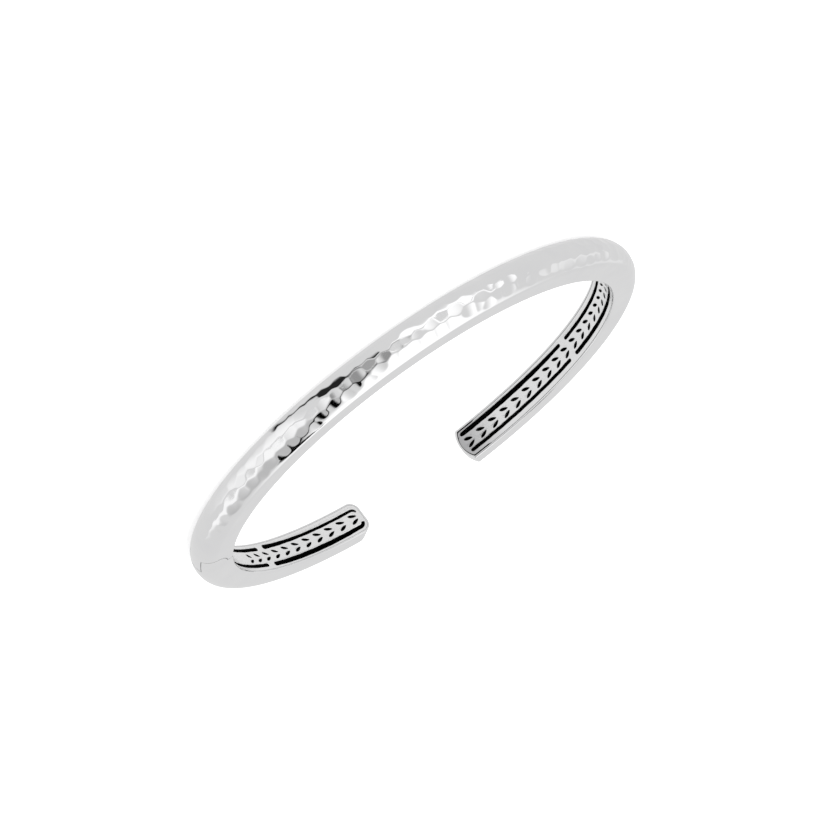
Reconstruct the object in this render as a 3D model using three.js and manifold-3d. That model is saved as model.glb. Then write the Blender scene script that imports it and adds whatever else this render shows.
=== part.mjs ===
// A hinged silver cuff bracelet, lying on its side. Millimetres, +Z up.
//
// The band follows an oval round the wrist. It is a hollow shell with flat sides and a domed outer face,
// closed on the inside by a pierced gallery plate, let in flush. A knuckle hinge at +X joins the front band,
// which runs from the hinge round the front (-Y) and the -X side to its tip, to a short arm, which runs from
// the hinge to the other tip. The gap between the two tips is at +Y.
//
// A place on the band is given by s, n and z: s is the distance round the oval from the middle of the gap,
// clockwise seen from above, n is the distance outwards from the inner face, and z is the height.

import * as THREE from "three";
import { mergeVertices } from "three/addons/utils/BufferGeometryUtils.js";
import Module from "manifold-3d";

// ---- Driving dimensions ----

const WRIST_LENGTH = 58.4; // inner oval, along X
const WRIST_DEPTH = 50.2; // inner oval, along Y
const FRONT_TIP_REACH = 7.95; // from the middle of the gap to the front band's tip, along the oval
const ARM_TIP_REACH = 7.55; // the same to the arm's tip

const BAND_HEIGHT = 4.5;
const SIDE_DEPTH = 2.5; // flat side wall, from the inner face outwards
const DOME_RISE = 2.0; // what the domed outer face adds to it
const SHELL_SIDE_WALL = 0.7;
const SHELL_DOME_WALL = 0.95;
const HOLLOW_DOME = 1.4; // how far the hollow's own dome rises
const TIP_WALL = 1.0;
const FRONT_TIP_BOW = 3.6; // radius of the front tip's bowed end, seen from the inside of the wrist
const ARM_TIP_CORNER = 1.3; // rounding of the arm tip's corners, seen the same way
const TIP_EDGE = 1.2; // rounding of a tip's outer edge, seen from above

const PLATE_THICKNESS = 0.8;
const PLATE_FIT = 0.12; // gap between a gallery plate and its seat
const RIM_WALL = 0.25; // shell edge that shows beside the plate

const LEAF_LENGTH = 1.24;
const LEAF_WIDTH = 0.38;
const LEAF_TILT = 20; // degrees, from the run of the band
const LEAF_ROW = 0.41; // from the middle of the band to each row of leaves
const LEAF_PITCH = 1.981;
const FRONT_LEAVES = { first: 9.52, pairs: 41 }; // first is measured from the middle of the gap
const ARM_LEAVES = { first: 9.08, pairs: 11 };

const SLOT_ROW = 1.25; // from the middle of the band to each row of slots
const SLOT_WIDTH = 0.48;
const SLOT_BRIDGE = 1.15; // metal left between two slots
const FRONT_SLOTS = { first: 8.9, length: 18.4, curl: false };
const ARM_SLOTS = { first: 8.75, length: 15.9, curl: true };
const SLOT_CURL = 0.62; // radius in which the arm's first slots curl round the tip
const SLOT_END = 1.1; // metal between the last slot and the plate's end

const HINGE_DEPTH = 1.5; // from the dome's crest in to the hinge's axis
const KNUCKLE_RADIUS = 2.1;
const KNUCKLE_HALF_HEIGHT = 1.15; // of the front band's middle knuckle
const HINGE_GAP = 0.3;
const PIN_RADIUS = 0.5;
const PIN_COVER = 0.4; // metal left over each end of the pin's bore
const PLATE_TO_HINGE = 3.2; // from the axis to the end of each gallery plate
const HOLLOW_TO_HINGE = 4.5; // from the axis to the end of each shell's hollow

const STEP = 2.6; // longest stretch of band between two sections
const CORNER_STEPS = [1, 0.62, 0.32, 0.1]; // closer sections at a rounded tip, as shares of its rounding
const BOW_STEPS = [1, 0.66, 0.38, 0.18, 0.05]; // the same at a bowed tip, as shares of the bow's rise
const BOW_BLUNT = 0.015; // how far from a bow's crest its last section is taken, so that it has a height
const SLOT_END_STEPS = [0, 0.35, 1]; // the same at a slot's end, as shares of its rounding
const SLOT_END_SHARE = 0.45; // width of a slot at its very end, as a share of its full width
const CURL_TURNS = [75, 50, 25, 0]; // degrees, from a curled slot's end to its straight run
const CURL_SHARES = [0.6, 1, 1, 1]; // its width at each of them, as a share of its full width
const LEAF_STEPS = [-1, -0.45, 0.45, 1]; // from a leaf's point to its stalk, as shares of half its length
const DOME_STEPS = 8;
const ROUND_SIDES = 32;
const CLEAR = 0.5; // how far a cutter reaches past what it cuts

// ---- Worked out from them ----

const MIDDLE = BAND_HEIGHT / 2;
const THICKNESS = SIDE_DEPTH + DOME_RISE;
const SEAT_DEPTH = PLATE_THICKNESS + PLATE_FIT;
const SEAT_HALF_HEIGHT = MIDDLE - RIM_WALL;
const HOLLOW_HALF_HEIGHT = MIDDLE - SHELL_SIDE_WALL;
const HOLLOW_DEPTH = THICKNESS - SHELL_DOME_WALL - HOLLOW_DOME;

const SILVER = { color: 0xd6d6d6, metalness: 1, roughness: 0.12 };
const GALLERY_SILVER = { color: 0xc4c4c4, metalness: 1, roughness: 0.3 };
const PIN_SILVER = { color: 0xb8b8b8, metalness: 1, roughness: 0.35 };

const wasm = await Module();
wasm.setup();

// ---- The oval that the band follows ----

class WristOval extends THREE.Curve {
  getPoint(t, target = new THREE.Vector3()) {
    const angle = 2 * Math.PI * t;
    return target.set((WRIST_LENGTH / 2) * Math.sin(angle), (WRIST_DEPTH / 2) * Math.cos(angle), 0);
  }
}

const oval = new WristOval();
oval.arcLengthDivisions = 2000;
const ROUND = oval.getLength();
const HINGE_S = ROUND / 4;
const FRONT_TIP_S = ROUND - FRONT_TIP_REACH;
const hingeAxis = place(HINGE_S, THICKNESS - HINGE_DEPTH, 0);

// The point at distance s round the oval, n outwards from the inner face, at height z.
function place(s, n, z) {
  const u = s / ROUND;
  const point = oval.getPointAt(u);
  const along = oval.getTangentAt(u);
  return new THREE.Vector3(point.x - n * along.y, point.y + n * along.x, z);
}

// ---- Solids from geometry, and geometry from solids ----

function toSolid(geometry) {
  const bare = geometry.clone();
  bare.deleteAttribute("normal");
  bare.deleteAttribute("uv");
  const merged = mergeVertices(bare, 1e-5);
  return new wasm.Manifold(
    new wasm.Mesh({
      numProp: 3,
      vertProperties: new Float32Array(merged.attributes.position.array),
      triVerts: new Uint32Array(merged.index.array),
    }),
  );
}

function toGeometry(solid) {
  const mesh = solid.getMesh();
  const geometry = new THREE.BufferGeometry();
  geometry.setAttribute("position", new THREE.BufferAttribute(mesh.vertProperties, 3));
  geometry.setIndex(new THREE.BufferAttribute(mesh.triVerts, 1));
  geometry.computeVertexNormals();
  return geometry;
}

// A solid through a row of sections. Each section is the same number of points, counter-clockwise seen
// against the direction in which the row runs, and outline is its flat shape, from which its ends are filled.
function loft(sections, outline) {
  const count = outline.length;
  const positions = sections.flat().flatMap((p) => [p.x, p.y, p.z]);
  const ends = THREE.ShapeUtils.triangulateShape(outline, []);
  const last = (sections.length - 1) * count;
  const index = [];
  for (const [a, b, c] of ends) {
    index.push(c, b, a);
    index.push(last + a, last + b, last + c);
  }
  for (let row = 0; row < last; row += count) {
    for (let i = 0; i < count; i++) {
      const j = (i + 1) % count;
      index.push(row + i, row + j, row + count + j);
      index.push(row + i, row + count + j, row + count + i);
    }
  }
  const geometry = new THREE.BufferGeometry();
  geometry.setAttribute("position", new THREE.Float32BufferAttribute(positions, 3));
  geometry.setIndex(index);
  return toSolid(geometry);
}

// A section of (n, height from the middle) pairs, carried along the band through the given distances.
function sweep(distances, sectionAt) {
  const sections = distances.map((s) => sectionAt(s).map(([n, h]) => place(s, n, MIDDLE + h)));
  const outline = sectionAt(distances[0]).map(([n, h]) => new THREE.Vector2(n, h));
  return loft(sections, outline);
}

function cylinder(radius, low, high) {
  const geometry = new THREE.CylinderGeometry(radius, radius, high - low, ROUND_SIDES);
  geometry.rotateX(Math.PI / 2);
  geometry.translate(hingeAxis.x, hingeAxis.y, (low + high) / 2);
  return toSolid(geometry);
}

// Everything near the hinge between two lengthways places and two heights.
function slab(yLow, yHigh, low, high) {
  const across = 4 * THICKNESS;
  const geometry = new THREE.BoxGeometry(across, yHigh - yLow, high - low);
  geometry.translate(hingeAxis.x, hingeAxis.y + (yLow + yHigh) / 2, (low + high) / 2);
  return toSolid(geometry);
}

// ---- Distances along the band ----

// Evenly spaced distances from one to another, no further apart than STEP.
function spaced(from, to) {
  const steps = Math.ceil(Math.abs(to - from) / STEP);
  return Array.from({ length: steps + 1 }, (_, i) => from + ((to - from) * i) / steps);
}

// The same with more of them close to a tip, at the given distances from it, the largest first.
function spacedToTip(from, tip, close) {
  const way = Math.sign(tip - from);
  const near = close.map((distance) => tip - way * distance);
  return [...spaced(from, near[0]), ...near.slice(1), tip].sort((a, b) => a - b);
}

// How far a rounding of this radius holds an edge back, at some distance from the end of the piece.
function heldBack(distance, radius) {
  const into = Math.max(0, radius - distance);
  return radius - Math.sqrt(radius * radius - into * into);
}

// Half the height of a piece at some distance from its tip. An end is the tip of a shell, bowed or with
// rounded corners, and inset is how far inside the shell's own outline the piece keeps.
function halfAt(end, fullHalf, inset, distance) {
  if (!end.bow) return fullHalf - heldBack(distance, end.corner - inset);
  const radius = end.bow - inset;
  const into = Math.max(0, radius - Math.max(distance, BOW_BLUNT));
  return Math.min(fullHalf, Math.sqrt(radius * radius - into * into));
}

// The distances from such a tip at which sections follow its rounding.
function tipDistances(end, fullHalf, inset) {
  if (!end.bow) return CORNER_STEPS.map((share) => share * (end.corner - inset));
  const radius = end.bow - inset;
  const rise = radius - Math.sqrt(radius * radius - fullHalf * fullHalf);
  return BOW_STEPS.map((share) => share * rise);
}

// ---- The shell ----

function shellSection(end, distance) {
  const half = halfAt(end, MIDDLE, 0, distance);
  const share = 1 - heldBack(distance, TIP_EDGE) / THICKNESS;
  const dome = Array.from({ length: DOME_STEPS + 1 }, (_, i) => {
    const turn = (i / DOME_STEPS - 0.5) * Math.PI;
    return [share * (SIDE_DEPTH + DOME_RISE * Math.cos(turn)), half * Math.sin(turn)];
  });
  return [[0, -half], ...dome, [0, half]];
}

function hollowSection() {
  const half = HOLLOW_HALF_HEIGHT;
  const steps = DOME_STEPS / 2;
  const dome = Array.from({ length: steps + 1 }, (_, i) => {
    const turn = (i / steps - 0.5) * Math.PI;
    return [HOLLOW_DEPTH + HOLLOW_DOME * Math.cos(turn), half * Math.sin(turn)];
  });
  return [[-CLEAR, -half], ...dome, [-CLEAR, half]];
}

// A rectangle from n = inner to n = outer.
function flatSection(inner, outer, half) {
  return [
    [inner, -half],
    [outer, -half],
    [outer, half],
    [inner, half],
  ];
}

// The hollow behind the gallery plate, and the seat that the plate lies in.
function shellHollow(end) {
  const { tip, way } = end;
  const hinge = HINGE_S - way * HOLLOW_TO_HINGE;
  const seatHinge = HINGE_S - way * (PLATE_TO_HINGE - PLATE_FIT);
  const seatTip = tip + way * RIM_WALL;
  const close = tipDistances(end, SEAT_HALF_HEIGHT, RIM_WALL);
  const hollow = sweep(
    spaced(hinge, tip + way * TIP_WALL).sort((a, b) => a - b),
    hollowSection,
  );
  const seat = sweep(spacedToTip(seatHinge, seatTip, close), (s) =>
    flatSection(-CLEAR, SEAT_DEPTH, halfAt(end, SEAT_HALF_HEIGHT, RIM_WALL, Math.abs(s - seatTip))),
  );
  return hollow.add(seat);
}

// A shell from its tip to just past the hinge's axis. way is +1 where s grows from tip to hinge, else -1.
function shell(end) {
  const pastHinge = HINGE_S + end.way * (KNUCKLE_RADIUS + CLEAR);
  const own = tipDistances(end, MIDDLE, 0);
  const close = own[0] < TIP_EDGE ? [TIP_EDGE, ...own] : own;
  const distances = spacedToTip(pastHinge, end.tip, close);
  const whole = sweep(distances, (s) => shellSection(end, Math.abs(s - end.tip)));
  return whole.subtract(shellHollow(end));
}

// ---- The hinge ----

// What the hinge takes off one shell. The shell fills its own side of the axis, and the round knuckles
// that reach past it: the front band's is the middle one, and the arm's are the two outer ones.
function hingeCut(isFront) {
  const below = -CLEAR;
  const above = BAND_HEIGHT + CLEAR;
  const half = HINGE_GAP / 2;
  const reach = 2 * THICKNESS;
  const otherSide = isFront ? slab(-half, reach, below, above) : slab(-reach, half, below, above);
  const ownKnuckle = cylinder(KNUCKLE_RADIUS - half, below, above);
  const otherKnuckle = cylinder(KNUCKLE_RADIUS + half, below, above);
  const middleHalf = KNUCKLE_HALF_HEIGHT + (isFront ? -half : half);
  const middle = slab(-reach, reach, MIDDLE - middleHalf, MIDDLE + middleHalf);
  const owned = otherSide.subtract(ownKnuckle);
  const taken = otherSide.add(otherKnuckle);
  return isFront
    ? owned.intersect(middle).add(taken.subtract(middle))
    : taken.intersect(middle).add(owned.subtract(middle));
}

function pinBore() {
  return cylinder(PIN_RADIUS + HINGE_GAP, PIN_COVER, BAND_HEIGHT - PIN_COVER);
}

function hingePin() {
  const end = PIN_COVER + HINGE_GAP;
  return cylinder(PIN_RADIUS, end, BAND_HEIGHT - end);
}

// ---- The pierced gallery plates ----

// A cutter through the plate, along a path of (s, height from the middle) pairs with a width at each.
function ribbon(path, widths) {
  const ends = [-CLEAR, PLATE_THICKNESS + CLEAR];
  const sections = path.map(([s, h], i) => {
    const before = path[Math.max(0, i - 1)];
    const after = path[Math.min(path.length - 1, i + 1)];
    const run = new THREE.Vector2(after[0] - before[0], after[1] - before[1]).normalize();
    const half = widths[i] / 2;
    const low = [s + run.y * half, h - run.x * half];
    const high = [s - run.y * half, h + run.x * half];
    return [
      place(low[0], ends[0], MIDDLE + low[1]),
      place(low[0], ends[1], MIDDLE + low[1]),
      place(high[0], ends[1], MIDDLE + high[1]),
      place(high[0], ends[0], MIDDLE + high[1]),
    ];
  });
  const half = SLOT_WIDTH / 2;
  const outline = [
    new THREE.Vector2(ends[0], -half),
    new THREE.Vector2(ends[1], -half),
    new THREE.Vector2(ends[1], half),
    new THREE.Vector2(ends[0], half),
  ];
  return loft(sections, outline);
}

// A slot with round ends from one distance to a further one, in the row above (+1) or below (-1) the middle.
// A curled one turns towards the middle at its start, round the tip.
function slot(from, to, row, curl) {
  const round = SLOT_WIDTH / 2;
  const height = row * SLOT_ROW;
  const narrowing = 1 - SLOT_END_SHARE ** 2;
  const widthAt = (share) => SLOT_WIDTH * Math.sqrt(1 - (1 - share) ** 2 * narrowing);
  const start = SLOT_END_STEPS.map((share) => [from + share * round, height]);
  const middle = spaced(from + round, to - round)
    .slice(1, -1)
    .map((s) => [s, height]);
  const end = SLOT_END_STEPS.map((share) => [to - share * round, height]).reverse();
  const straight = [...start, ...middle, ...end];
  const widths = [
    ...SLOT_END_STEPS.map(widthAt),
    ...middle.map(() => SLOT_WIDTH),
    ...SLOT_END_STEPS.map(widthAt).reverse(),
  ];
  if (!curl) return ribbon(straight, widths);
  const bend = CURL_TURNS.map((degrees) => {
    const turn = THREE.MathUtils.degToRad(degrees);
    return [from - SLOT_CURL * Math.sin(turn), height - row * SLOT_CURL * (1 - Math.cos(turn))];
  });
  const bendWidths = CURL_SHARES.map((share) => share * SLOT_WIDTH);
  const rest = SLOT_END_STEPS.length;
  return ribbon([...bend, ...straight.slice(rest)], [...bendWidths, ...widths.slice(rest)]);
}

// A pointed leaf through the plate, its point towards smaller s, above (+1) or below (-1) the middle.
function leaf(s, row) {
  const tilt = THREE.MathUtils.degToRad(row * LEAF_TILT);
  const side = LEAF_STEPS.map((share) => [(share * LEAF_LENGTH) / 2, ((1 - share * share) * LEAF_WIDTH) / 2]);
  const back = side.slice(1, -1).reverse();
  const outline = [...side.map(([a, b]) => [a, -b]), ...back];
  const turned = outline.map(([a, b]) => [
    s + a * Math.cos(tilt) - b * Math.sin(tilt),
    row * LEAF_ROW + a * Math.sin(tilt) + b * Math.cos(tilt),
  ]);
  const sections = [PLATE_THICKNESS + CLEAR, -CLEAR].map((n) =>
    turned.map(([along, h]) => place(along, n, MIDDLE + h)),
  );
  return loft(
    sections,
    outline.map(([a, b]) => new THREE.Vector2(a, b)),
  );
}

// A plate with its two rows of slots and its pairs of leaves. reachToS turns a distance from the middle
// of the gap, on the plate's own side, into s.
function galleryPlate(end, leaves, slots) {
  const { tip, way } = end;
  const reachToS = (reach) => (way > 0 ? reach : ROUND - reach);
  const inset = RIM_WALL + PLATE_FIT;
  const plateHalf = SEAT_HALF_HEIGHT - PLATE_FIT;
  const close = tipDistances(end, plateHalf, inset);
  const plateTip = tip + way * inset;
  const plateHinge = HINGE_S - way * PLATE_TO_HINGE;
  let plate = sweep(spacedToTip(plateHinge, plateTip, close), (s) =>
    flatSection(0, PLATE_THICKNESS, halfAt(end, plateHalf, inset, Math.abs(s - plateTip))),
  );
  const lastReach = way > 0 ? plateHinge - SLOT_END : ROUND - plateHinge - SLOT_END;
  for (const row of [-1, 1]) {
    for (let i = 0; i < leaves.pairs; i++) {
      plate = plate.subtract(leaf(reachToS(leaves.first + i * LEAF_PITCH), row));
    }
    for (let from = slots.first; from < lastReach - SLOT_BRIDGE; from += slots.length + SLOT_BRIDGE) {
      const to = Math.min(from + slots.length, lastReach);
      const curl = slots.curl && from === slots.first;
      const distances = [reachToS(from), reachToS(to)].sort((a, b) => a - b);
      plate = plate.subtract(slot(distances[0], distances[1], row, curl));
    }
  }
  return plate;
}

// ---- The cuff ----

function piece(name, solid, look) {
  const mesh = new THREE.Mesh(toGeometry(solid), new THREE.MeshStandardMaterial(look));
  mesh.name = name;
  return mesh;
}

const FRONT = { tip: FRONT_TIP_S, way: -1, bow: FRONT_TIP_BOW };
const ARM = { tip: ARM_TIP_REACH, way: 1, corner: ARM_TIP_CORNER };
const bore = pinBore();

const cuff = new THREE.Group();
cuff.add(
  piece("front_band_shell", shell(FRONT).subtract(hingeCut(true)).subtract(bore), SILVER),
  piece("front_band_gallery", galleryPlate(FRONT, FRONT_LEAVES, FRONT_SLOTS), GALLERY_SILVER),
  piece("hinged_arm_shell", shell(ARM).subtract(hingeCut(false)).subtract(bore), SILVER),
  piece("hinged_arm_gallery", galleryPlate(ARM, ARM_LEAVES, ARM_SLOTS), GALLERY_SILVER),
  piece("hinge_pin", hingePin(), PIN_SILVER),
);

// The origin is the middle of the cuff's own box, on the surface that it rests on.
const box = new THREE.Box3().setFromObject(cuff);
cuff.position.set(-(box.min.x + box.max.x) / 2, -(box.min.y + box.max.y) / 2, -box.min.z);

export default cuff;
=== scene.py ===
# %% [markdown]
# # A hammered silver cuff with a pierced gallery
#
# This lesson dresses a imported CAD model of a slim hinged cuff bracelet. The CAD fixes every size, and the
# cuff lies on its side on a pale floor. Here we rebuild its surfaces finely enough to show what a silversmith
# leaves on them: the flat marks of a planishing hammer on the domed outside, rounded tips, a knuckle hinge
# with a hairline seam, and an inner gallery plate pierced with leaves and slots over a blackened hollow.

import bpy
import numpy as np
from mathutils import Matrix, Vector


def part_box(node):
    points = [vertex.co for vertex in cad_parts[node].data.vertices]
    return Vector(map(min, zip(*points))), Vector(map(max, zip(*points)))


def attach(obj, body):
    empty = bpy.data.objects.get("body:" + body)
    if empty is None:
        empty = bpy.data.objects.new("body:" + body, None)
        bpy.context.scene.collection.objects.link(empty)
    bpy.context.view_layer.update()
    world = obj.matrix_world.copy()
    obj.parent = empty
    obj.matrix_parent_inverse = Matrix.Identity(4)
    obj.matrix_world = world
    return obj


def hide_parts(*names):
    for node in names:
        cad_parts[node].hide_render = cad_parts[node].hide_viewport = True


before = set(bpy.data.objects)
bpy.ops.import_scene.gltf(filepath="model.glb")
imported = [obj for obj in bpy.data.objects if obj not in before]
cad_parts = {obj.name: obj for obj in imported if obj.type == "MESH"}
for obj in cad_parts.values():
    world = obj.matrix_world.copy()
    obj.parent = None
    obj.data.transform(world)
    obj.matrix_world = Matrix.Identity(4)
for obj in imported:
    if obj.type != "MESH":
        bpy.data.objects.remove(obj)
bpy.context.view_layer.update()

# %% [markdown]
# The driving sizes are the same as the CAD's, in millimetres. The band follows an oval round the wrist, its
# section has flat sides and a domed outside, and the two pieces meet at a hinge a quarter of the way round.

# %% Sizes of the band, in millimetres
MM = 0.001
WRIST_LENGTH = 58.4
WRIST_DEPTH = 50.2
FRONT_TIP_REACH = 7.95
ARM_TIP_REACH = 7.55
BAND_HEIGHT = 4.5
HALF = BAND_HEIGHT / 2
SIDE_DEPTH = 2.5
DOME_RISE = 1.97
CAD_THICKNESS = 4.5
FRONT_TIP_BOW = 3.6
ARM_TIP_CORNER = 1.3
TIP_EDGE = 1.2
TIP_WALL = 1.0
RIM_WALL = 0.25
HINGE_DEPTH = 1.5
KNUCKLE_RADIUS = 2.1
KNUCKLE_HALF_HEIGHT = 1.15
PLATE_TO_HINGE = 3.2

low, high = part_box("hinge_pin")
hinge_axis = np.array((low + high) / 2) / MM
oval_centre = np.array([hinge_axis[0] - WRIST_LENGTH / 2 - CAD_THICKNESS + HINGE_DEPTH, hinge_axis[1], HALF])
print("hinge axis at", hinge_axis.round(3), "and the oval's middle at", oval_centre.round(3))

# %% [markdown]
# ## The oval
#
# A place on the band is given by three numbers: s, the distance round the inner oval from the middle of the
# gap, clockwise seen from above; n, the distance outwards from the inner face; and h, the height above the
# middle of the band. An ellipse has no simple formula for its length, so we add up a fine table of chords
# once, and read the angle for any distance back from that table with np.interp.

# %% Places on the band
TURNS = np.linspace(0, 2 * np.pi, 20001)
chords = np.hypot(
    np.diff(WRIST_LENGTH / 2 * np.sin(TURNS)), np.diff(WRIST_DEPTH / 2 * np.cos(TURNS))
)
RUN = np.concatenate([[0], np.cumsum(chords)])
ROUND = RUN[-1]
HINGE_S = ROUND / 4
FRONT_TIP_S = ROUND - FRONT_TIP_REACH


def place(s, n, h):
    """A point of the band, in metres: the oval's own point at distance s, moved n along the oval's outward
    normal, and raised h above the middle of the band. s, n and h are arrays whose shapes go together."""
    s, n, h = np.broadcast_arrays(np.asarray(s, float), n, h)
    turn = np.interp(np.mod(s, ROUND), RUN, TURNS)
    x, y = WRIST_LENGTH / 2 * np.sin(turn), WRIST_DEPTH / 2 * np.cos(turn)
    out_x, out_y = WRIST_DEPTH / 2 * np.sin(turn), WRIST_LENGTH / 2 * np.cos(turn)
    size = np.hypot(out_x, out_y)
    point = np.stack([x + n * out_x / size, y + n * out_y / size, h], -1)
    return (point + oval_centre) * MM


print(f"once round the inner oval is {ROUND:.2f} mm, and the hinge is at {HINGE_S:.2f} mm")

# %% [markdown]
# ## From arrays to meshes
#
# Every new surface is a grid of rings: a closed ring of points, carried along and joined to the next one by
# four-sided faces. The ends are closed by one flat face or by a small point. foreach_set copies whole arrays
# into a mesh, which is far quicker than adding vertices one by one.


# %% Rings, lofts and mesh objects
def points_at(first, second):
    """Flat points from their two coordinates, each an array or one number for all the points."""
    return np.stack(np.broadcast_arrays(first, second), -1)


def raised(flat, third):
    """Flat points with the same third coordinate added to each."""
    return np.column_stack([flat, np.full(len(flat), third)])


def on_circle(radius, turns):
    """Flat points on a circle about (0, 0)."""
    return radius * points_at(np.cos(turns), np.sin(turns))


def ring_faces(rows, count):
    """The four-sided faces between rows of rings with count points each. Ring and next ring are joined point
    by point, and each ring's last point to its first."""
    row, i = np.meshgrid(np.arange(rows - 1), np.arange(count), indexing="ij")
    j = (i + 1) % count
    corners = [row * count + i, row * count + j, (row + 1) * count + j, (row + 1) * count + i]
    return np.stack(corners, -1).reshape(-1, 4)


def new_mesh(name, points, faces):
    """A mesh from an array of points and a list of face arrays, each with faces of one size."""
    faces = [np.asarray(group) for group in faces if len(group)]
    loops = np.concatenate([group.ravel() for group in faces]).astype(np.int32)
    sizes = np.concatenate([np.full(len(group), group.shape[1]) for group in faces])
    starts = np.concatenate([[0], np.cumsum(sizes)[:-1]]).astype(np.int32)
    mesh = bpy.data.meshes.new(name)
    mesh.vertices.add(len(points))
    mesh.vertices.foreach_set("co", np.asarray(points, np.float32).ravel())
    mesh.loops.add(len(loops))
    mesh.loops.foreach_set("vertex_index", loops)
    mesh.polygons.add(len(starts))
    mesh.polygons.foreach_set("loop_start", starts)
    mesh.update(calc_edges=True)
    mesh.validate()
    return mesh


def loft(name, rings):
    """A closed solid through rings of points, an array of (rows, count, 3), with a flat face at each end."""
    rows, count = rings.shape[:2]
    ends = np.array([np.arange(count)[::-1], (rows - 1) * count + np.arange(count)])
    return new_mesh(name, rings.reshape(-1, 3), [ring_faces(rows, count), ends])


def show(name, mesh):
    """Puts a mesh into the scene as an object at the origin."""
    thing = bpy.data.objects.new(name, mesh)
    bpy.context.scene.collection.objects.link(thing)
    return thing


def keep(mesh, name, values):
    """Keeps a number for each vertex of a mesh, under a name that its material reads."""
    mesh.attributes.new(name, "FLOAT", "POINT").data.foreach_set("value", values.astype(np.float32))


def volume(mesh):
    """The space that a closed mesh holds, in cubic millimetres: the sum of the signed volumes of the cones
    from the origin to each triangle. It is positive when the faces point outwards."""
    mesh.calc_loop_triangles()
    corners = np.empty(len(mesh.loop_triangles) * 3, np.int32)
    mesh.loop_triangles.foreach_get("vertices", corners)
    co = np.empty(len(mesh.vertices) * 3, np.float32)
    mesh.vertices.foreach_get("co", co)
    a, b, c = np.moveaxis(co.reshape(-1, 3)[corners.reshape(-1, 3)] / MM, 1, 0)
    return float(np.einsum("ij,ij->i", a, np.cross(b, c)).sum() / 6)


# %% [markdown]
# ## Hammer marks
#
# A planishing hammer has a nearly flat face. Each blow presses a small flat into the dome, and the flats
# meet in soft ridges. So the height of the struck surface, measured from the smooth dome, is the lowest of
# many shallow bowls: a bowl that bends up as fast as the dome bends away is exactly a flat. A soft minimum
# rounds the ridges as polishing does. The blows are strongest round the front and fade out towards both
# sides, where the band is plain.


# %% Where the blows fall
HAMMERED_FROM, HAMMERED_TO = 45.5, 133.0
BLOW_DEPTH, SHALLOWEST_BLOW = 0.095, 0.004
DEPTH_SPREAD = -0.04, 0.03
BLOW_TILTS = np.array([0.03, 0.05])


def ramps(s, start, rise, end, fall, height=1.0):
    """A height along the middle of a stretch of band, which falls in a straight ramp to 0 at each end."""
    return height * np.clip((s - start) / rise, 0, 1) * np.clip((end - s) / fall, 0, 1)


def blows(seed=5, spacing_s=1.6, spacing_a=1.2, rows=4, shift_a=-0.12, stray_s=0.25, stray_a=0.17):
    """Centres and depths of the blows: a brick pattern of places (s along the band, a across the dome), each
    moved a little at random, and a depth in millimetres that fades towards the ends of the hammered part."""
    rng = np.random.default_rng(seed)
    run = np.arange(HAMMERED_FROM - 0.5, HAMMERED_TO + 1.0, spacing_s)
    row = np.arange(rows)
    s = run[:, None] + spacing_s / 2 * (row[None, :] % 2)
    a = np.broadcast_to((row - (rows - 1) / 2) * spacing_a + shift_a, s.shape)
    s = s + rng.uniform(-stray_s, stray_s, s.shape) * spacing_s
    a = a + rng.uniform(-stray_a, stray_a, s.shape) * spacing_a
    fade = ramps(s, start=HAMMERED_FROM, rise=11.0, end=HAMMERED_TO, fall=24.0)
    fade = fade * fade * (3 - 2 * fade)
    depth = (BLOW_DEPTH + rng.uniform(*DEPTH_SPREAD, s.shape)) * fade
    tilt = rng.normal(0, 1, (2,) + s.shape) * BLOW_TILTS[:, None, None] * fade
    keep = depth.ravel() > SHALLOWEST_BLOW
    return np.stack([v.ravel()[keep] for v in (s, a, depth, tilt[0], tilt[1])])


BLOWS = blows()
print(f"{BLOWS.shape[1]} blows of the hammer, the deepest {BLOWS[2].max():.3f} mm")


# %% How deep the surface is pressed
SOFTEST_RIDGE, ADDED_SHARPNESS = 40, 70
BLOW_REACH, FAINTEST_SUM = 3.5, 1.02


def pressed(s, a, dome_bend=0.38, run_bend=0.2, batches=60):
    """How far the struck surface lies below the smooth dome at (s, a), in millimetres. Each blow is a bowl,
    bend * distance**2 / 2 - depth, and the result is the soft minimum of all the bowls and of zero,
    -log(1 + sum(exp(-sharpness * bowl))) / sharpness. The ridges are sharpest halfway along. The points are
    taken in batches along the band, each of which looks only at the blows near it."""
    shape = s.shape
    s, a = s.ravel(), a.ravel()
    sharpness = SOFTEST_RIDGE + ramps(s, start=53, rise=12, end=118, fall=16, height=ADDED_SHARPNESS)
    depth = np.zeros(s.shape)
    for part in np.array_split(np.argsort(s, kind="stable"), batches):
        near = np.abs(BLOWS[0] - s[part].mean()) < np.ptp(s[part]) / 2 + BLOW_REACH
        if not near.any():
            continue
        at_s, at_a, deep, tilt_s, tilt_a = (v[near][None, :] for v in BLOWS)
        ds, da = s[part][:, None] - at_s, a[part][:, None] - at_a
        bowl = run_bend * ds**2 / 2 + dome_bend * da**2 / 2 + tilt_s * ds + tilt_a * da - deep
        total = 1 + np.exp(-sharpness[part][:, None] * np.clip(bowl, -1, 1)).sum(1)
        depth[part] = np.log(total) / sharpness[part]
    return np.maximum(depth - np.log(FAINTEST_SUM) / sharpness, 0).reshape(shape)


# %% [markdown]
# ## The shells
#
# Each shell is one closed skin, swept along the oval, from which we cut the seat of the gallery plate, the
# hollow behind it, and the hinge. The skin's section is a loop: the flat inner face, two small rounded
# corners, the flat sides and the dome. The front tip is bowed, so there the section narrows as the chord of
# an arc does. The arm's tip has corners rounded in a quarter circle. Both close in a slightly bulged end.


# %% The section and its rounding at a tip
SOFT_CORNER = 0.03
NEAREST_CHORD = 0.004
TIP_BULGE = 0.05
CAP_SHARES = np.array([0.93, 0.8, 0.55, 0.25])


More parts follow.
